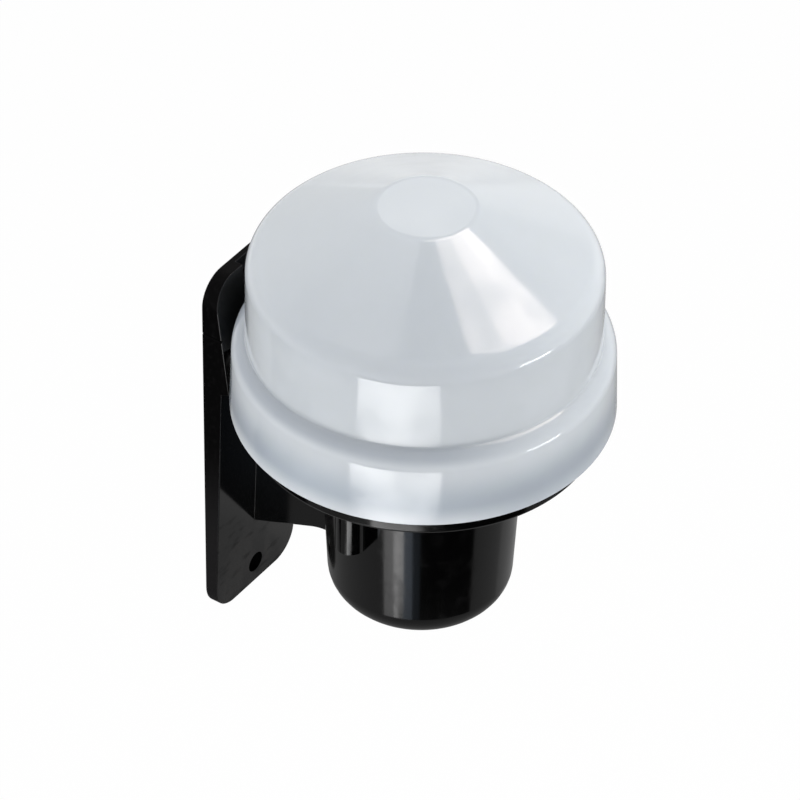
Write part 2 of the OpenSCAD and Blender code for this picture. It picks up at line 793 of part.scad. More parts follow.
module terminal_clamps() color([0.8, 0.68, 0.3]) {
    at_axis(board_top) for (x = pole_x) translate([x, clamp_mid, 0]) difference() {
        translate([-clamp_w / 2, -clamp_w / 2, 0]) cube([clamp_w, clamp_w, clamp_h]);
        translate([-clamp_open / 2, -clamp_w, clamp_foot]) cube([clamp_open, 2 * clamp_w, clamp_open]);
        translate([0, 0, clamp_hole_z]) cylinder(d = term_screw_d + 2 * thread_clear, h = clamp_h);
    }
}

module terminal_screws() color([0.72, 0.73, 0.75]) {
    tip_z = clamp_top_z - term_screw_in;
    at_axis(board_top) for (x = pole_x) translate([x, clamp_mid, 0]) {
        translate([0, 0, term_head_z]) slotted_head(term_head_d, term_head_h);
        translate([0, 0, tip_z]) cylinder(d = term_screw_d, h = term_head_z - tip_z);
    }
}

bracket();
dome_cover();
dome_seal();
cable_grommet();
circuit_board();
board_screws();
solder_joints();
component_leads();
light_sensor();
sensor_spacer();
relay();
film_capacitor();
electrolytic_capacitor();
rectifier_diodes();
zener_diode();
resistors();
inrush_resistor();
varistor();
transistor();
terminal_block();
terminal_clamps();
terminal_screws();
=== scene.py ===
import math

import bmesh
import bpy
from mathutils import Matrix, Vector


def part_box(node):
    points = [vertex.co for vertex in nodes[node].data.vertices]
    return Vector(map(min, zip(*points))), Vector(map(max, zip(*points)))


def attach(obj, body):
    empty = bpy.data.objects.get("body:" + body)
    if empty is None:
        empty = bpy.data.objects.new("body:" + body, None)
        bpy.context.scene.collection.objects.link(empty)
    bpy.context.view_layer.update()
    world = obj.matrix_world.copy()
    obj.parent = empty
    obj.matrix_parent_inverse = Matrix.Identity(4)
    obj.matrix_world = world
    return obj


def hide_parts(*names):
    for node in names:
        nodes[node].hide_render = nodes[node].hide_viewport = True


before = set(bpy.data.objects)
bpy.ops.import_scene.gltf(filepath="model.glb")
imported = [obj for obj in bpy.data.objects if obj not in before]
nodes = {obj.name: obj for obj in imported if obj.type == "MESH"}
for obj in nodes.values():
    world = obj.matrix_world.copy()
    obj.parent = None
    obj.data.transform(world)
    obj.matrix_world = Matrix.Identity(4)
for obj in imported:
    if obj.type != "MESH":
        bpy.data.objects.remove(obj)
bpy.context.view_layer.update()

# Wall bracket
# One injection moulding in glossy black plastic: wall plate, web, bridge, wiring cup, tray and bosses.
# Two screws hold it to the wall, the upper one in a keyhole between the plate's side pads.
mm = 0.001
tiny = 0.001 * mm
wall_low, wall_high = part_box("bracket")
dome_low, dome_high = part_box("dome_cover")
skirt_r = (dome_high.x - dome_low.x) / 2
axis = Vector((0, dome_low.y + skirt_r, dome_low.z))

plate_w = 26.6 * mm
plate_corner_r = 6.2 * mm
plate_low_t = 2.6 * mm
plate_high_t = 4.6 * mm
pad_low_t = 6.4 * mm
pad_top_t = 3.1 * mm
pad_z = wall_high.z - 26.1 * mm
pad_foot_z = pad_z + 0.7 * mm
channel_w = 7.8 * mm
channel_t = 1.4 * mm
keyhole_d = 7.2 * mm
keyhole_slot_w = 4.4 * mm
keyhole_travel = 6 * mm
keyhole_z = wall_high.z - 11.5 * mm
screw_hole_d = 4.5 * mm
screw_hole_z = wall_low.z + 5.1 * mm
plate_edge_r = 0.25 * mm


def arc(x, y, r, first, sweep, steps):
    """Points along an arc of radius r round (x, y), from the angle first on through the sweep."""
    turns = [first + sweep * k / steps for k in range(steps + 1)]
    return [Vector((x + r * math.cos(turn), y + r * math.sin(turn))) for turn in turns]


def rounded(path, closed=True, steps=10):
    """Points of an outline whose corners are given as (x, y, radius)."""
    points = []
    count = len(path)
    for i, (x, y, r) in enumerate(path):
        corner = Vector((x, y))
        if r == 0 or (not closed and i in (0, count - 1)):
            points.append(corner)
            continue
        back_way = (Vector(path[i - 1][:2]) - corner).normalized()
        next_way = (Vector(path[(i + 1) % count][:2]) - corner).normalized()
        half = back_way.angle(next_way) / 2
        hub = corner + (back_way + next_way).normalized() * (r / math.sin(half))
        start = corner + back_way * (r / math.tan(half)) - hub
        end = corner + next_way * (r / math.tan(half)) - hub
        first = math.atan2(start.y, start.x)
        sweep = (math.atan2(end.y, end.x) - first + math.pi) % math.tau - math.pi
        points += arc(hub.x, hub.y, r, first, sweep, steps)
    return points


def add_skin(mesh, rings):
    """Joins rings of points, each with the same number, into a skin that is closed at both ends."""
    rows = [[mesh.verts.new(p) for p in ring] for ring in rings]
    for low, high in zip(rows, rows[1:]):
        for i in range(len(low)):
            j = (i + 1) % len(low)
            mesh.faces.new((low[i], low[j], high[j], high[i]))
    mesh.faces.new(rows[0][::-1])
    mesh.faces.new(rows[-1])


def add_turned(mesh, path, place, spin=160):
    """Turns a path of (radius, height) points round the vertical line at place."""
    turns = [Matrix.Rotation(math.tau * k / spin, 3, "Z") for k in range(spin)]
    rows = []
    for p in path:
        stops = turns if p.x > tiny else turns[:1]
        rows.append([mesh.verts.new(place + turn @ Vector((p.x, 0, p.y))) for turn in stops])
    for low, high in zip(rows, rows[1:] + rows[:1]):
        for k in range(spin):
            corners = [row[i % len(row)] for row, i in ((low, k), (low, k + 1), (high, k + 1), (high, k))]
            corners = list(dict.fromkeys(corners))
            if len(corners) > 2:
                mesh.faces.new(corners)


def soften(mesh, width, angle, steps=3):
    """Rounds every edge that is sharper than the angle."""
    bmesh.ops.remove_doubles(mesh, verts=mesh.verts, dist=tiny / 10)
    bmesh.ops.recalc_face_normals(mesh, faces=mesh.faces)
    sharp = [e for e in mesh.edges if len(e.link_faces) == 2 and e.calc_face_angle() > math.radians(angle)]
    bmesh.ops.bevel(mesh, geom=sharp, offset=width, segments=steps, profile=0.5, affect="EDGES")


def object_from(mesh, name):
    """Puts a mesh into the scene as an object, with its faces turned outward."""
    bmesh.ops.recalc_face_normals(mesh, faces=mesh.faces)
    data = bpy.data.meshes.new(name)
    mesh.to_mesh(data)
    mesh.free()
    made = bpy.data.objects.new(name, data)
    bpy.context.scene.collection.objects.link(made)
    return made


def piece_from(mesh, name, smooth_angle=40):
    """Makes the object of a finished mesh, with flat faces kept flat beside its round edges."""
    piece = object_from(mesh, name)
    piece.data.shade_smooth()
    piece.data.set_sharp_from_angle(angle=math.radians(smooth_angle))
    flat = piece.modifiers.new("flat faces", "WEIGHTED_NORMAL")
    flat.keep_sharp = True
    return piece


def cut_from(mesh, cutters):
    """Cuts closed prisms, given as an outline in XZ and its depths in Y, out of a mesh."""
    blank = object_from(mesh, "blank")
    made = [blank]
    for outline, near, far in cutters:
        tool = bmesh.new()
        add_skin(tool, [[Vector((p.x, y, p.y)) for p in outline] for y in (near, far)])
        cutter = object_from(tool, "cutter")
        made.append(cutter)
        cut = blank.modifiers.new("cut", "BOOLEAN")
        cut.operation = "DIFFERENCE"
        cut.solver = "EXACT"
        cut.object = cutter
    result = bmesh.new()
    result.from_object(blank, bpy.context.evaluated_depsgraph_get())
    for o in made:
        bpy.data.objects.remove(o)
    return result


def plate_front(z):
    """Thickness of the plate at height z: thin below, a step, then pads that thin toward the top."""
    stations = [
        (wall_low.z, plate_low_t), (pad_z, plate_high_t), (pad_foot_z, pad_low_t), (wall_high.z, pad_top_t),
    ]
    for (z0, t0), (z1, t1) in zip(stations, stations[1:]):
        if z <= z1:
            return t0 + (t1 - t0) * (z - z0) / (z1 - z0)
    return pad_top_t


plate = bmesh.new()
half_w = plate_w / 2
outline = rounded([
    (-half_w, wall_low.z, plate_corner_r),
    (half_w, wall_low.z, plate_corner_r),
    (half_w, pad_z, 0),
    (half_w, pad_foot_z, 0),
    (half_w, wall_high.z, plate_corner_r),
    (-half_w, wall_high.z, plate_corner_r),
    (-half_w, pad_foot_z, 0),
    (-half_w, pad_z, 0),
], steps=14)
back = [plate.verts.new((p.x, 0, p.y)) for p in outline]
front = [plate.verts.new((p.x, -plate_front(p.y), p.y)) for p in outline]
plate.faces.new(back)
for i in range(len(outline)):
    j = (i + 1) % len(outline)
    plate.faces.new((back[i], back[j], front[j], front[i]))
for low_z, high_z in ((wall_low.z, pad_z), (pad_z, pad_foot_z), (pad_foot_z, wall_high.z)):
    plate.faces.new([v for v in front if low_z - tiny < v.co.z < high_z + tiny])

# The channel is open at the plate's top, and the keyhole goes through its floor.
cut_back = mm
cut_front = -2 * pad_low_t
channel_r = channel_w / 2
channel_top = wall_high.z + 2 * mm
channel = arc(0, keyhole_z, channel_r, math.pi, math.pi, 24)
channel += [Vector((channel_r, channel_top)), Vector((-channel_r, channel_top))]
entry_r = keyhole_d / 2
slot_r = keyhole_slot_w / 2
slot_top = keyhole_z + keyhole_travel
entry_turn = math.asin(slot_r / entry_r)
keyhole = arc(0, keyhole_z, entry_r, math.pi / 2 + entry_turn, math.tau - 2 * entry_turn, 40)
keyhole += arc(0, slot_top, slot_r, 0, math.pi, 24)
plate = cut_from(plate, [(channel, -channel_t, cut_front), (keyhole, cut_back, cut_front)])
soften(plate, plate_edge_r, 25)

# The screw hole keeps a sharp edge, and a fine witness line crosses each side of the plate.
witness_z = wall_high.z - 12.6 * mm
witness_w = 0.35 * mm
witness_depth = 0.45 * mm
witness_path = ((-witness_depth, 0), (0, -witness_w), (mm, -witness_w), (mm, witness_w), (0, witness_w))
late_cuts = []
for side in (-1, 1):
    witness = [Vector((side * (half_w + x), witness_z + z)) for x, z in witness_path]
    late_cuts.append((witness, cut_back, cut_front))
screw_hole = arc(0, screw_hole_z, screw_hole_d / 2, 0, math.tau, 48)[:-1]
late_cuts.append((screw_hole, cut_back, cut_front))
plate = cut_from(plate, late_cuts)

# The web is level at the cup, then bends down to the plate.
# The heights that follow are measured from the dome's lower edge.
tray_z = -4.5 * mm
rim_z = 13.1 * mm
floor_z = tray_z + 2.2 * mm
tray_r = 34.81 * mm
tray_wall = 2.2 * mm
tray_edge_r = 0.8 * mm
cup_top_r = 20.2 * mm
cup_low_r = 18.1 * mm
cup_z = tray_z - 42.8 * mm
cup_corner_r = 6.8 * mm
cup_wall = 2 * mm
cup_floor = 2.4 * mm
gland_r = 6 * mm
root_r = 0.8 * mm
web_root_r = 0.1 * mm
web_t = 1.8 * mm
web_z = tray_z - 40 * mm
web_bend = 24 * mm
web_bend_r = 12 * mm
web_slope = math.tan(math.radians(21))
web_edge_r = 0.4 * mm
bridge_w = 18 * mm
bridge_top = -1.2 * mm


def cup_r(z):
    """Outer radius of the cup at height z."""
    return cup_top_r + (cup_low_r - cup_top_r) * (z - tray_z) / (cup_z - tray_z)


web = bmesh.new()
sink = plate_low_t / 2
reach = axis.y + web_bend
web_path = rounded([
    (-sink, axis.z + bridge_top, 0),
    (axis.y + cup_r(tray_z) - cup_wall / 2, axis.z + bridge_top, 0),
    (axis.y + cup_r(web_z) - cup_wall / 2, axis.z + web_z, 0),
    (reach, axis.z + web_z, web_bend_r),
    (-sink, axis.z + web_z + (reach + sink) * web_slope, 0),
], steps=16)
add_skin(web, [[Vector((x, p.x, p.y)) for p in web_path] for x in (-web_t / 2, web_t / 2)])
soften(web, web_edge_r, 60)

bridge = bmesh.new()
bridge_x = bridge_w / 2
bridge_path = [(-bridge_x, tray_z), (bridge_x, tray_z), (bridge_x, bridge_top), (-bridge_x, bridge_top)]
bridge_ends = (-channel_t / 2, axis.y + tray_r - tray_wall / 2)
add_skin(bridge, [[Vector((x, y, axis.z + z)) for x, z in bridge_path] for y in bridge_ends])
soften(bridge, plate_edge_r, 60)

# Small fillets where the web runs into the plate and the cup
fillets = bmesh.new()
fillet_arc = [Vector((1 - math.sin(t), 1 - math.cos(t))) for t in (math.pi / 2 * k / 6 for k in range(7))]
plate_run = [axis.z + web_z + (reach + plate_low_t) * web_slope, pad_z, pad_foot_z, axis.z + tray_z]
cup_run = [axis.z + web_z + web_edge_r, axis.z + tray_z]


def cup_back(z):
    """Where the web's side enters the cup, at a height in the frame."""
    return axis.y + math.sqrt(cup_r(z - axis.z) ** 2 - (web_t / 2) ** 2)


def add_fillet(side, run, wall, way):
    """A fillet along the heights of a run, beside the web, on a wall at wall(z) that faces way in Y."""
    inside = web_t / 2 - web_root_r / 2
    rings = []
    for z in run:
        ring = [(web_t / 2 + p.x * web_root_r, p.y * web_root_r) for p in fillet_arc]
        ring += [(inside, web_root_r), (inside, -web_root_r / 2), (web_t / 2 + web_root_r, -web_root_r / 2)]
        rings.append([Vector((side * x, wall(z) + way * y, z)) for x, y in ring])
    add_skin(fillets, rings)


for side in (-1, 1):
    add_fillet(side, plate_run, lambda z: -plate_front(z), -1)
    add_fillet(side, cup_run, cup_back, 1)

# The tray and the cup are one turned shell, with a groove that the dome's bead grips.
bead_z = 4.2 * mm
bead_hub = 35.56 * mm
groove_r = 1.45 * mm
tray_in_r = tray_r - tray_wall
shell = bmesh.new()
groove_half = math.acos((bead_hub - tray_r) / groove_r)
groove = arc(bead_hub, bead_z, groove_r, math.pi + groove_half, -2 * groove_half, 12)
add_turned(shell, rounded([
    (gland_r, cup_z, 0),
    (cup_low_r, cup_z, cup_corner_r),
    (cup_top_r, tray_z, root_r),
    (tray_r, tray_z, tray_edge_r),
    *((p.x, p.y, 0) for p in groove),
    (tray_r, rim_z, plate_edge_r),
    (tray_in_r, rim_z, plate_edge_r),
    (tray_in_r, floor_z, root_r),
    (cup_top_r - cup_wall, floor_z, plate_edge_r),
    (cup_top_r - cup_wall, tray_z, 0),
    (cup_low_r - cup_wall, cup_z + cup_floor, cup_corner_r - cup_wall),
    (gland_r, cup_z + cup_floor, 0),
]), axis)

# Two screw bosses, each joined to the cup by a block as wide as the boss, and two rests for the board
boss_x = 24 * mm
boss_r = 3 * mm
boss_z = tray_z - 16.3 * mm
boss_edge_r = 0.3 * mm
board_z = floor_z + 4.3 * mm
pilot_r = 1.5 * mm
pilot_z = board_z - 9.9 * mm
block_z = boss_z + 10 * tiny
block_top = tray_z + mm
rest_y = 26.9 * mm
rest_r = 2 * mm
bosses = bmesh.new()
blocks = bmesh.new()
for side in (-1, 1):
    add_turned(bosses, rounded([
        (0, boss_z, 0),
        (boss_r, boss_z, boss_edge_r),
        (boss_r, board_z, plate_edge_r),
        (pilot_r, board_z, 0),
        (pilot_r, pilot_z, 0),
        (0, pilot_z, 0),
    ], steps=6), axis + Vector((side * boss_x, 0, 0)), spin=64)
    add_turned(bosses, rounded([
        (0, block_top, 0),
        (rest_r, block_top, 0),
        (rest_r, board_z, plate_edge_r),
        (0, board_z, 0),
    ], steps=6), axis + Vector((0, side * rest_y, 0)), spin=48)
    block_path = [
        (cup_top_r - cup_wall / 2, block_top),
        (boss_x, block_top),
        (boss_x, block_z),
        (cup_r(block_z) - cup_wall / 2, block_z),
    ]
    block_sides = (axis.y - boss_r, axis.y + boss_r)
    add_skin(blocks, [[Vector((side * x, y, axis.z + z)) for x, z in block_path] for y in block_sides])
soften(blocks, plate_edge_r, 60)

moulding = bmesh.new()
for part in (plate, web, bridge, fillets, shell, bosses, blocks):
    bmesh.ops.recalc_face_normals(part, faces=part.faces)
    data = bpy.data.meshes.new("part")
    part.to_mesh(data)
    part.free()
    moulding.from_mesh(data)
    bpy.data.meshes.remove(data)
bracket = piece_from(moulding, "bracket_moulding")
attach(bracket, "root")
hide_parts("bracket")


class Wire:
    """A socket of a material, so that shader maths reads as plain sums."""

    def __init__(self, tree, socket=None):
        self.tree = tree
        self.socket = socket

    def node(self, kind, settings=None, sockets=None, out=0):
        """A node of any kind, with its settings and then the values or links of its sockets."""
        made = self.tree.nodes.new(kind)
        for name, value in (settings or {}).items():
            setattr(made, name, value)
        for name, value in (sockets or {}).items():
            self.feed(made.inputs[name], value)
        return Wire(self.tree, made.outputs[out])

    def feed(self, target, value):
        if isinstance(value, Wire):
            self.tree.links.new(value.socket, target)
        else:
            target.default_value = value

    def maths(self, operation, a, b):
        return self.node("ShaderNodeMath", {"operation": operation}, {0: a, 1: b})

    def __add__(self, other):
        return self.maths("ADD", self, other)

    def __radd__(self, other):
        return self.maths("ADD", other, self)

    def __sub__(self, other):
        return self.maths("SUBTRACT", self, other)

    def __rsub__(self, other):
        return self.maths("SUBTRACT", other, self)

    def __mul__(self, other):
        return self.maths("MULTIPLY", self, other)

    def __rmul__(self, other):
        return self.maths("MULTIPLY", other, self)

    def rise(self, low, high):
        """A smooth step from 0 at low to 1 at high."""
        settings = {"interpolation_type": "SMOOTHSTEP", "clamp": True}
        return self.node("ShaderNodeMapRange", settings, {0: self, 1: low, 2: high, 3: 0.0, 4: 1.0})

    def mix(self, a, b):
        """Colour a where this is 0, colour b where it is 1."""
        return self.node("ShaderNodeMix", {"data_type": "RGBA"}, {0: self, 6: a, 7: b}, out=2)

    def noise(self, scale, detail=2.0, roughness=0.5, stretch=(1, 1, 1)):
        """Noise in the object's own metres, finer with a larger scale."""
        place = self.node("ShaderNodeTexCoord", out="Object")
        spread = self.node("ShaderNodeVectorMath", {"operation": "MULTIPLY"}, {0: place, 1: stretch})
        sockets = {"Vector": spread, "Scale": scale, "Detail": detail, "Roughness": roughness}
        return self.node("ShaderNodeTexNoise", None, sockets)

    def along(self, direction):
        """Distance from the object's origin along a direction, in metres."""
        place = self.node("ShaderNodeTexCoord", out="Object")
        settings = {"operation": "DOT_PRODUCT"}
        return self.node("ShaderNodeVectorMath", settings, {0: place, 1: direction}, out="Value")

    def bumps(self, height, strength, distance):
        sockets = {"Height": height, "Strength": strength, "Distance": distance}
        return self.node("ShaderNodeBump", None, sockets)


def new_finish(name, varied, **fixed):
    """A Principled material: fixed sockets by name, and varied ones from a function of its wires."""
    material = bpy.data.materials.new(name)
    material.use_nodes = True
    shader = material.node_tree.nodes["Principled BSDF"]
    wires = Wire(material.node_tree)
    for socket, value in fixed.items():
        shader.inputs[socket.replace("_", " ")].default_value = value
    for socket, value in varied(wires).items():
        wires.feed(shader.inputs[socket], value)
    return material


def grey(level):
    return (level, level, level, 1)


def on_plate(w):
    """1 on the wall plate, 0 on all that stands farther out."""
    return 1 - w.along((0, -1, 0)).rise(3.6 * mm, 5 * mm)


def black_plastic(w):
    cloud = w.noise(90, 3)
    grain = w.noise(1800, 2)
    scuffs = w.noise(260, 4, 0.6, stretch=(1, 1, 0.25)).rise(0.62, 0.8)
    smudge = w.noise(230, 4, 0.6).rise(0.48, 0.7) * w.along((0, -1, 0)).rise(12 * mm, 30 * mm)
    low = w.along((0, 0, -1)).rise(18 * mm, 28 * mm)
    dust = w.noise(190, 5, 0.6, stretch=(1, 1, 0.5)).rise(0.4, 0.58) * low * on_plate(w)
    black = cloud.mix((0.0003, 0.0003, 0.0004, 1), (0.0007, 0.0007, 0.0008, 1))
    return {
        "Base Color": dust.mix(black, (0.006, 0.0055, 0.0053, 1)),
        "Roughness": 0.09 + cloud * 0.06 + scuffs * 0.08 + smudge * 0.08,
        "Normal": w.bumps(grain, 0.05, 0.05 * mm),
    }


moulded_black = new_finish("black_moulded_plastic", black_plastic, IOR=1.5)

# Dull rub marks lie across the lower part of the plate.
rub_strength = 0.3
w = Wire(moulded_black.node_tree)
rubs = w.noise(600, 3, 0.55, stretch=(0.3, 1, 1)).rise(0.54, 0.66)
rubs = rubs * w.along((0, 0, -1)).rise(10 * mm, 24 * mm) * on_plate(w)
rubbed_black = {"Base Color": grey(0.0008), "Roughness": 0.7, "Specular IOR Level": 0.0}
dull = w.node("ShaderNodeBsdfPrincipled", None, rubbed_black)
glossy = Wire(w.tree, w.tree.nodes["Principled BSDF"].outputs[0])
rubbed = w.node("ShaderNodeMixShader", None, {0: rubs * rub_strength, 1: glossy, 2: dull})
w.feed(w.tree.nodes["Material Output"].inputs["Surface"], rubbed)


def hole_black(w):
    return {"Base Color": w.noise(500, 2).mix(grey(0.0004), grey(0.0012))}


def edge_black(w):
    low = w.along((0, 0, -1)).rise(-5 * mm, 24 * mm)
    specks = w.noise(900, 4, 0.6).rise(0.5, 0.75)
    worn = specks.mix((0.0006, 0.0005, 0.0006, 1), (0.003, 0.0028, 0.003, 1))
    return {"Base Color": low.mix(worn, (0.008, 0.0076, 0.008, 1)), "Roughness": 0.45 + specks * 0.2}


# The wall of the screw hole is left matt by the pin that forms it, and the outline of the plate is dull.
pin_formed = new_finish("pin_formed_plastic", hole_black, Roughness=0.8, Specular_IOR_Level=0.0)
edge_dull = new_finish("dull_edge_plastic", edge_black, Specular_IOR_Level=0.05)
for finish in (moulded_black, pin_formed, edge_dull):
    bracket.data.materials.append(finish)
plate_mid_z = (wall_low.z + wall_high.z) / 2
corner_x = half_w - plate_corner_r
corner_z = wall_high.z - plate_mid_z - plate_corner_r
for face in bracket.data.polygons:
    if abs(face.normal.y) > 0.3 or face.center.y < -pad_low_t:
        continue
    from_hole = Vector((face.center.x, face.center.z - screw_hole_z)).length
    out_x = abs(face.center.x) - corner_x
    out_z = abs(face.center.z - plate_mid_z) - corner_z
    if from_hole < screw_hole_d / 2 + tiny:
        face.material_index = 1
    elif max(out_x, out_z, math.hypot(max(out_x, 0), max(out_z, 0))) > plate_corner_r - witness_depth:
        face.material_index = 2

# Cable grommet
# A black rubber ring with two flanges, pressed into the hole in the cup's floor before the cable goes in.
# The rubber is matt and a little dusty.


def grommet_rubber(w):
    dust = w.noise(700, 4)
    return {
        "Base Color": dust.rise(0.45, 0.8).mix(grey(0.018), (0.05, 0.05, 0.048, 1)),
        "Roughness": 0.55 + dust * 0.25,
        "Normal": w.bumps(dust, 0.2, 0.1 * mm),
    }


def dress(node, material):
    """Gives a CAD node its finish."""
    nodes[node].data.materials.clear()
    nodes[node].data.materials.append(material)


dress("cable_grommet", new_finish("grommet_rubber", grommet_rubber))

# Circuit board
# A round single-sided board in paper laminate, lying on the tray's bosses and rests.
# The laminate is tan and slightly mottled.


def board_laminate(w):
    fibre = w.noise(500, 4, 0.6)
    cloud = w.noise(60, 2)
    tint = cloud.mix((0.42, 0.27, 0.11, 1), (0.5, 0.34, 0.15, 1))
    return {
        "Base Color": (fibre * 0.5).mix(tint, (0.3, 0.18, 0.07, 1)),
        "Roughness": 0.4 + fibre * 0.2,
        "Normal": w.bumps(fibre, 0.1, 0.05 * mm),
    }


dress("circuit_board", new_finish("board_laminate", board_laminate))

# Screws, clamps, leads and solder
# Two plated screws hold the board in the bosses, and plated screws close the brass wire clamps.
# The leads are tinned copper, and each ends in a cone of solder under the board.


def bright_metal(dull, bright, rough):
    def varied(w):
        wear = w.noise(900, 4, 0.6)
        return {
            "Base Color": wear.mix(dull, bright),
            "Roughness": rough + wear * 0.2,
            "Metallic": 1.0,
            "Normal": w.bumps(wear, 0.05, 0.03 * mm),
        }
    return varied


zinc = new_finish("zinc_plating", bright_metal((0.5, 0.5, 0.52, 1), (0.72, 0.73, 0.75, 1), 0.2))
brass = new_finish("brass", bright_metal((0.55, 0.4, 0.15, 1), (0.78, 0.6, 0.28, 1), 0.22))
tin = new_finish("tinned_copper", bright_metal((0.55, 0.55, 0.56, 1), (0.75, 0.75, 0.77, 1), 0.25))
solder = new_finish("solder", bright_metal((0.45, 0.45, 0.47, 1), (0.7, 0.7, 0.72, 1), 0.3))
dress("board_screws", zinc)
dress("terminal_screws", zinc)
dress("terminal_clamps", brass)
dress("component_leads", tin)
dress("solder_joints", solder)

# Parts on the board
# Moulded, dipped and painted bodies, soldered to the board by their leads.
# Each has a faint mottle; the relay, the capacitors, the transistor and the light sensor have edges rounded
# as moulded ones are.


def body_paint(dark, light, rough):
    def varied(w):
        mottle = w.noise(400, 3)
        return {
            "Base Color": mottle.mix(dark, light),
            "Roughness": rough + mottle * 0.15,
            "Normal": w.bumps(mottle, 0.08, 0.05 * mm),
        }
    return varied


part_edge_r = 0.3 * mm
part_finishes = {
    "relay": ((0.02, 0.07, 0.25, 1), (0.03, 0.1, 0.32, 1), 0.3),
    "film_capacitor": ((0.55, 0.36, 0.03, 1), (0.65, 0.45, 0.06, 1), 0.3),
    "electrolytic_capacitor": ((0.01, 0.014, 0.04, 1), (0.02, 0.025, 0.06, 1), 0.25),
    "rectifier_diodes": (grey(0.01), grey(0.02), 0.35),
    "zener_diode": ((0.4, 0.08, 0.02, 1), (0.5, 0.12, 0.03, 1), 0.15),
    "resistors": ((0.5, 0.36, 0.18, 1), (0.58, 0.43, 0.23, 1), 0.4),
    "inrush_resistor": ((0.08, 0.17, 0.2, 1), (0.12, 0.22, 0.25, 1), 0.45),
    "varistor": ((0.015, 0.07, 0.35, 1), (0.03, 0.1, 0.42, 1), 0.35),
    "transistor": (grey(0.008), grey(0.016), 0.4),
    "terminal_block": ((0.62, 0.62, 0.58, 1), (0.7, 0.7, 0.66, 1), 0.4),
    "sensor_spacer": ((0.68, 0.68, 0.65, 1), (0.76, 0.76, 0.73, 1), 0.45),
    "light_sensor": ((0.5, 0.2, 0.06, 1), (0.6, 0.27, 0.1, 1), 0.3),
}
for part, (dark, light, rough) in part_finishes.items():
    dress(part, new_finish(part + "_body", body_paint(dark, light, rough)))
for part in ("relay", "film_capacitor", "electrolytic_capacitor", "transistor", "light_sensor"):
    edge = nodes[part].modifiers.new("moulded edges", "BEVEL")
    edge.width = part_edge_r
    edge.segments = 2
    edge.limit_method = "ANGLE"
    edge.angle_limit = math.radians(60)

# Dome seal
# A flat ring of black rubber on the tray's rim, which the dome's shoulder presses down.
# It keeps rain out of the tray.
dress("dome_seal", new_finish("seal_rubber", grommet_rubber))

# Dome cover
# A turned shell of milky plastic, moulded in one piece, that clips over the tray's rim.
# A bead inside its skirt grips the tray's groove. The plastic is glossy and lets light through.
skirt_draft = 0.55 * mm
skirt_h = 16.9 * mm
shoulder_w = 2.55 * mm
shoulder_r = 4.5 * mm
crease_r = 0.4 * mm
wall_draft = 0.1 * mm
rim_h = 34.4 * mm
rim_r = 5.3 * mm
top_r = 9.75 * mm
dome_h = dome_high.z - dome_low.z
top_edge_r = 3 * mm
dome_wall = 2 * mm
lip_r = 0.3 * mm
bead_r = 1.2 * mm
shoulder_x = skirt_r - skirt_draft
wall_x = shoulder_x - shoulder_w
rim_x = wall_x - wall_draft
skirt_in_x = 35.01 * mm
rim_in = (32.31 * mm, 33.17 * mm)
top_in = (9.27 * mm, 44.8 * mm)
ledge_r = 0.8 * mm
skirt_slope = skirt_draft / skirt_h
ledge_z = skirt_h - dome_wall


def skirt_inside(z):
    return skirt_in_x + (ledge_z - z) * skirt_slope


bead_half = math.acos((bead_hub - skirt_inside(bead_z)) / bead_r)
bead = arc(bead_hub, bead_z, bead_r, math.pi + bead_half, -2 * bead_half, 12)
# The wall rises out of the shoulder's curve before that is level, which makes the crease.
shoulder_path = [(0, skirt_h, 0), (shoulder_x, skirt_h, shoulder_r), (skirt_r, 0, 0)]
shoulder = rounded(shoulder_path, closed=False, steps=48)
shoulder = [p for p in shoulder[:-1] if p.x > wall_x + crease_r]
hub_z = skirt_h - shoulder_r
crease_z = hub_z + math.sqrt(shoulder_r ** 2 - (wall_x - shoulder_x + shoulder_r) ** 2)
cover = bmesh.new()
cover_path = rounded([
    (0, dome_h, 0),
    (top_r, dome_h, top_edge_r),
    (rim_x, rim_h, rim_r),
    (wall_x, crease_z, crease_r),
    *((p.x, p.y, 0) for p in shoulder),
    (skirt_r, 0, lip_r),
    (skirt_inside(0), 0, lip_r),
    *((p.x, p.y, 0) for p in bead),
    (skirt_in_x, ledge_z, ledge_r),
    (wall_x - dome_wall, ledge_z, 0),
    (*rim_in, rim_r - dome_wall),
    (*top_in, 0),
    (0, top_in[1], 0),
], closed=False, steps=16)
add_turned(cover, cover_path, axis, spin=224)
dome = piece_from(cover, "dome_shell")
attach(dome, "root")
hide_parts("dome_cover")


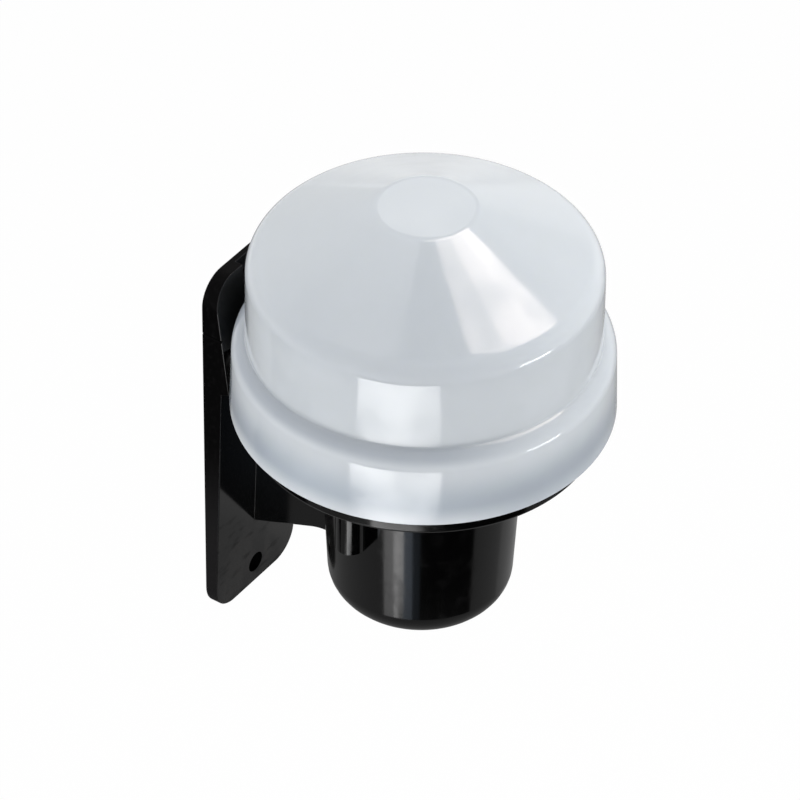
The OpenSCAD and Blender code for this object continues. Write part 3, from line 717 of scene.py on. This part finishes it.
def milky_plastic(w):
    cloud = w.noise(45, 2)
    wave = w.noise(70, 2)
    ripple = w.noise(300, 2)
    height = w.along((0, 0, 1)) - axis.z
    sideways = w.along((0.57, -0.82, 0)) + 0.82 * axis.y
    forward = w.along((-0.82, -0.57, 0)) + 0.57 * axis.y

    # Painted shade darkens the middle of the cone's front
    milk = cloud.mix((0.48, 0.51, 0.54, 1), (0.5, 0.53, 0.56, 1))
    aside = sideways + 6 * mm
    middle = 1 - (aside * aside).rise(100 * mm ** 2, 1400 * mm ** 2)
    cone_front_painted_shade = height.rise(28 * mm, 35 * mm) * forward.rise(0.0, 24 * mm) * middle
    milk = cone_front_painted_shade.mix(milk, (0.45, 0.48, 0.513, 1))

    # The tray's rim showing through darkens the skirt above its lip, and painted shade darkens the skirt
    # and lip more on the right and the skirt most at the far left.
    lip = (1 - height.rise(0.5 * mm, 4.2 * mm)) * (1 - 0.6 * sideways.rise(4 * mm, 20 * mm))
    rim_and_painted_shade = (1 - lip) * (1 - height.rise(4 * mm, 12.5 * mm))
    rim_and_painted_shade_tint = sideways.rise(0.0, 20 * mm).mix((0.352, 0.39, 0.435, 1), (0.313, 0.347, 0.387, 1))
    rim_and_painted_shade_tint = sideways.rise(-37 * mm, -26 * mm).mix((0.287, 0.32, 0.362, 1), rim_and_painted_shade_tint)
    shaded = rim_and_painted_shade.mix(milk, rim_and_painted_shade_tint)
    # Painted shade in the crease above the shoulder, fading to the right
    crease_painted_shade = height.rise(13.1 * mm, 15.3 * mm) * (1 - height.rise(15.8 * mm, 17.8 * mm))
    crease_painted_shade = crease_painted_shade * (1 - 0.75 * sideways.rise(2 * mm, 24 * mm))

    # Clouds in the gloss of the side that is handled
    clouds = w.noise(115, 2, 0.4).rise(0.34, 0.66) - 0.5
    off_middle = (sideways * sideways).rise(600 * mm ** 2, 1200 * mm ** 2)
    handled = forward.rise(-6 * mm, 8 * mm) * (1 - off_middle)
    return {
        "Base Color": crease_painted_shade.mix(shaded, (0.355, 0.385, 0.425, 1)),
        "Roughness": 0.07 + cloud * 0.05,
        "Coat Weight": 0.42 + clouds * handled * 0.5,
        "Normal": w.bumps(wave + ripple * 0.13, 0.3, 0.5 * mm),
    }


milky = new_finish("milky_plastic", milky_plastic, IOR=1.5, Specular_IOR_Level=0.33, Coat_IOR=1.5,
                   Coat_Roughness=0.09, Subsurface_Weight=0.3, Subsurface_Scale=1.0,
                   Subsurface_Radius=(4 * mm, 4 * mm, 5 * mm))
dome.data.materials.append(milky)

# Studio
# A pale floor well below the switch, which hangs as on its wall, with soft boxes above and in front.
# The camera stands where the photograph was taken from.
floor_drop = 0.3
floor_half = 4
corners = [(-floor_half, -floor_half, 0), (floor_half, -floor_half, 0)]
corners += [(floor_half, floor_half, 0), (-floor_half, floor_half, 0)]
floor_mesh = bpy.data.meshes.new("floor")
floor_mesh.from_pydata(corners, [], [(0, 1, 2, 3)])
floor = bpy.data.objects.new("floor", floor_mesh)
floor.location.z = wall_low.z - floor_drop
bpy.context.scene.collection.objects.link(floor)

# The camera sees the paper almost white, and the plastic mirrors it with a darker middle.
white_share = 0.95
paper = bpy.data.materials.new("floor_paper")
paper.use_nodes = True
w = Wire(paper.node_tree)
matt = w.tree.nodes["Principled BSDF"]
w.feed(matt.inputs["Base Color"], w.noise(3, 2).mix(grey(0.8), grey(0.82)))
matt.inputs["Roughness"].default_value = 0.9
camera_ray = w.node("ShaderNodeLightPath", out="Is Camera Ray")
glossy_ray = w.node("ShaderNodeLightPath", out="Is Glossy Ray")
clear_ray = w.node("ShaderNodeLightPath", out="Is Transmission Ray")
white = w.node("ShaderNodeEmission", None, {"Color": grey(1), "Strength": 1.0})
place = w.node("ShaderNodeTexCoord", out="Object")
far_out = w.node("ShaderNodeVectorMath", {"operation": "LENGTH"}, {0: place}, out="Value")
near_paper = far_out.rise(0.6, 1.6).mix(grey(0.23), grey(1))
far_paper = far_out.rise(1.8, 3.8).mix(near_paper, grey(0.78))
shaded = w.node("ShaderNodeEmission", None, {"Color": far_paper, "Strength": 1.0})
lit = Wire(w.tree, matt.outputs[0])
seen = w.node("ShaderNodeMixShader", None, {0: camera_ray * white_share, 1: lit, 2: white})
bounced = w.maths("MINIMUM", glossy_ray + clear_ray, 1.0)
mirrored = w.node("ShaderNodeMixShader", None, {0: bounced, 1: seen, 2: shaded})
w.feed(w.tree.nodes["Material Output"].inputs["Surface"], mirrored)
floor_mesh.materials.append(paper)

world = bpy.data.worlds.new("studio")
bpy.context.scene.world = world
world.use_nodes = True
w = Wire(world.node_tree)
camera_ray = w.node("ShaderNodeLightPath", out="Is Camera Ray")
sky = w.tree.nodes["Background"]
w.feed(sky.inputs["Color"], camera_ray.mix(grey(0.8), grey(1)))
sky.inputs["Strength"].default_value = 1.0

# Directions round the camera: out toward it, and to its right
view_turn = math.radians(-55.56)
view_rise = math.radians(39.57)
view_roll = math.radians(0.84)
outward = Vector((math.sin(view_turn), -math.cos(view_turn), 0))
rightward = Vector((math.cos(view_turn), math.sin(view_turn), 0))


def from_view(turn, rise, far):
    """A point round the dome, from its bearing right of the camera, its elevation and its distance."""
    flat = outward * math.cos(math.radians(turn)) + rightward * math.sin(math.radians(turn))
    rise = math.radians(rise)
    return axis + far * (flat * math.cos(rise) + Vector((0, 0, math.sin(rise))))


def soft_box(name, place, size, glow, faces=axis, fills=True, mirrored=True, tint=(1, 1, 1)):
    """A rectangular soft box that faces a point, as bright all over as the glow."""
    lamp = bpy.data.lights.new(name, "AREA")
    lamp.color = tint
    lamp.shape = "RECTANGLE"
    lamp.size, lamp.size_y = size
    lamp.energy = glow * math.pi * size[0] * size[1]
    box = bpy.data.objects.new(name, lamp)
    aim = (faces - place).to_track_quat("-Z", "Y")
    box.matrix_world = Matrix.Translation(place) @ aim.to_matrix().to_4x4()
    box.visible_camera = False
    box.visible_diffuse = fills
    box.visible_glossy = mirrored
    bpy.context.scene.collection.objects.link(box)


ceiling = 0.3
ceiling_step = 0.002


def ceiling_box(name, low, high, steps, glow, **use):
    """A soft box that lies flat above the dome, between two corners in X and Y from the dome's axis."""
    rise = ceiling - steps * ceiling_step
    place = axis + Vector(((low[0] + high[0]) / 2, (low[1] + high[1]) / 2, rise))
    size = (high[0] - low[0], high[1] - low[1])
    soft_box(name, place, size, glow, faces=place - Vector((0, 0, 1)), **use)


# The overhead box fills evenly, and its warm image on the cone grows brighter to the right.
# Its parts hang in steps, because lamps in one plane are not added up.
warm = (1, 0.87, 0.8)
blue = (0.65, 0.8, 1)
over_low, over_high = (0.015, -0.21), (0.205, 0.02)
ceiling_box("overhead_fill", over_low, over_high, steps=0, glow=3.1, mirrored=False)
ceiling_box("overhead_left", (-0.12, 0.012), (-0.02, 0.2), steps=1, glow=0.3, fills=False)
ceiling_box("overhead_box", over_low, over_high, steps=1, glow=3.15, fills=False, tint=warm)
ceiling_box("overhead_middle", (0.07, -0.2), over_high, steps=2, glow=2.2, fills=False, tint=warm)
ceiling_box("overhead_core", (0.13, -0.12), over_high, steps=3, glow=1.5, fills=False, tint=warm)
soft_box("top_box", from_view(180, 45.8, 0.332), size=(0.06, 0.06), glow=1.0, fills=False)

# Large boxes round the switch fill its shadows, and the strips are what its glossy faces mirror.
soft_box("left_box", from_view(-80, 14, 1.0), size=(0.8, 0.6), glow=2.6, mirrored=False)
soft_box("right_box", from_view(85, 12, 1.0), size=(0.5, 0.4), glow=5.5, mirrored=False)
soft_box("right_lamp", from_view(67, -14, 0.8), size=(0.28, 0.085), glow=10, fills=False)
soft_box("front_box", from_view(5, 8, 1.2), size=(1.0, 0.5), glow=1.1, mirrored=False)
soft_box("right_floor", from_view(140, -38, 0.4), size=(0.3, 0.2), glow=0.1, fills=False)
soft_box("back_box", from_view(160, 6, 1.2), size=(1.6, 0.44), glow=0.32)
soft_box("dome_strip", from_view(-14.5, -29.2, 0.229), size=(0.178, 0.03), glow=4.0)
soft_box("skirt_strip", from_view(-14.3, -34.4, 0.606), size=(0.44, 0.023), glow=1.7)
soft_box("cup_strip", from_view(-29, -46, 0.289), size=(0.0175, 0.05), glow=3.6)
soft_box("cup_strip_top", from_view(-23.2, -45.1, 0.284), size=(0.0227, 0.045), glow=3.5)
soft_box("cup_strip_left", from_view(-37.75, -46, 0.289), size=(0.0437, 0.05), glow=1.45)
soft_box("cup_strip_right", from_view(-15, -46, 0.289), size=(0.036, 0.05), glow=0.8, tint=blue)
soft_box("cup_strip_tail", from_view(-5.5, -46, 0.26), size=(0.03, 0.046), glow=0.22, tint=blue)
soft_box("boss_strip", from_view(-14, -38.3, 0.2293), size=(0.1, 0.022), glow=4.0)


def card_black(w):
    return {"Base Color": w.noise(40, 2).mix(grey(0.002), grey(0.004))}


card_finish = new_finish("card_black", card_black, Roughness=1.0, Specular_IOR_Level=0.0)


def add_card(name, points, faces, shades=True):
    """A black card, which only the glossy plastic mirrors."""
    mesh = bpy.data.meshes.new(name)
    mesh.from_pydata(points, [], faces)
    mesh.materials.append(card_finish)
    card = bpy.data.objects.new(name, mesh)
    card.visible_camera = False
    card.visible_diffuse = False
    card.visible_shadow = shades
    bpy.context.scene.collection.objects.link(card)


# One card in front for the cup, one above for the cone, and one behind for the plate's side
front_r = 0.19
front_turns = (-9.5, 9, 28, 46, 65)
across = len(front_turns)
front_points = []
for rise in (-32, -51):
    far = front_r / math.cos(math.radians(rise))
    front_points += [from_view(turn, rise, far) for turn in front_turns]
front_faces = [(k, k + 1, k + across + 1, k + across) for k in range(across - 1)]
add_card("front_card", front_points, front_faces)
above_corners = ((-0.12, -0.12), (0.015, -0.12), (0.015, 0.012), (-0.12, 0.012))
above_points = [axis + Vector((x, y, ceiling)) for x, y in above_corners]
add_card("above_card", above_points, [(0, 1, 2, 3)], shades=False)
side_foot = Vector((-0.103, 0.058, -0.105))
side_across = Vector((0.5655, 0.825, 0))
side_along = Vector((-0.037, 0.025, 0.054))
side_ends = [side_foot + side_across * far for far in (-0.02, 0.09)]
add_card("side_card", side_ends + [p + side_along for p in side_ends[::-1]], [(0, 1, 2, 3)])

# The lens and the place were found from the outlines in the photograph.
focal_px = 5496.576
picture_px = 800
sensor_mm = 36
camera_from_dome = Vector((-0.678559, -0.459891, 0.677055))
backward = outward * math.cos(view_rise) + Vector((0, 0, math.sin(view_rise)))
level_up = backward.cross(rightward)
right = rightward * math.cos(view_roll) + level_up * math.sin(view_roll)
up = backward.cross(right)
camera_data = bpy.data.cameras.new("camera")
camera_data.sensor_width = sensor_mm
camera_data.lens = sensor_mm * focal_px / picture_px
camera = bpy.data.objects.new("camera", camera_data)
turned = Matrix((right, up, backward)).transposed().to_4x4()
turned.translation = axis + camera_from_dome
camera.matrix_world = turned
bpy.context.scene.collection.objects.link(camera)
bpy.context.scene.camera = camera
bpy.context.scene.view_settings.view_transform = "Standard"
